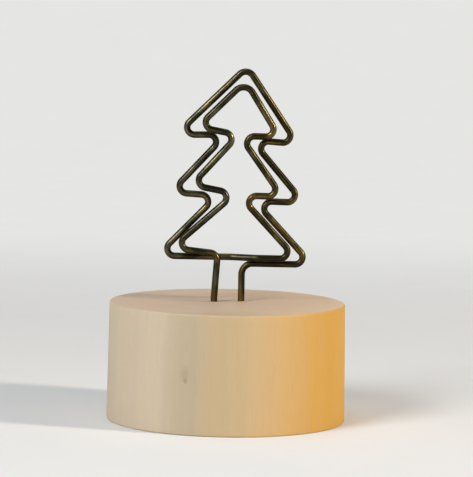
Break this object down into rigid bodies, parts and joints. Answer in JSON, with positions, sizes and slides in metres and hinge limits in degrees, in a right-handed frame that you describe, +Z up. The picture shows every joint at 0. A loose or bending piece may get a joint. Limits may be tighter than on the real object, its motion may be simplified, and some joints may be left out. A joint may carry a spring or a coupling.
{
  "type": "photo clip stand",
  "caption": "Round wooden base with a bent wire clip in the outline of a fir tree that holds a photo or card between its two turns.",
  "frame": {"origin": "centre of the wooden base's underside", "axes": "+Z up, +X to the right of someone who looks at the front turn, +Y to the back, square to the tree's plane"},
  "size_m": [0.0406, 0.0406, 0.0596],
  "materials": {
    "pale_wood": "fine sanded, with straight grain up the side",
    "aged_brass_wire": "antique brass plate, dark olive brown, semi-gloss",
    "hard_glue": "clear amber, hardened"
  },
  "bodies": {
    "stand": {"wooden_base": "pale_wood", "left_leg": "aged_brass_wire", "rear_turn": "aged_brass_wire", "left_glue": "hard_glue", "right_glue": "hard_glue"},
    "front_clip": {"front_turn": "aged_brass_wire"}
  },
  "joints": [
    {"name": "front_clip_flex", "type": "hinge", "parent": "stand", "child": "front_clip", "pos_m": [0.00184, -0.00068, 0.02804], "axis": [1, 0, 0], "range_deg": [0, 5], "stiffness_Nm_per_rad": 0.5}
  ]
}
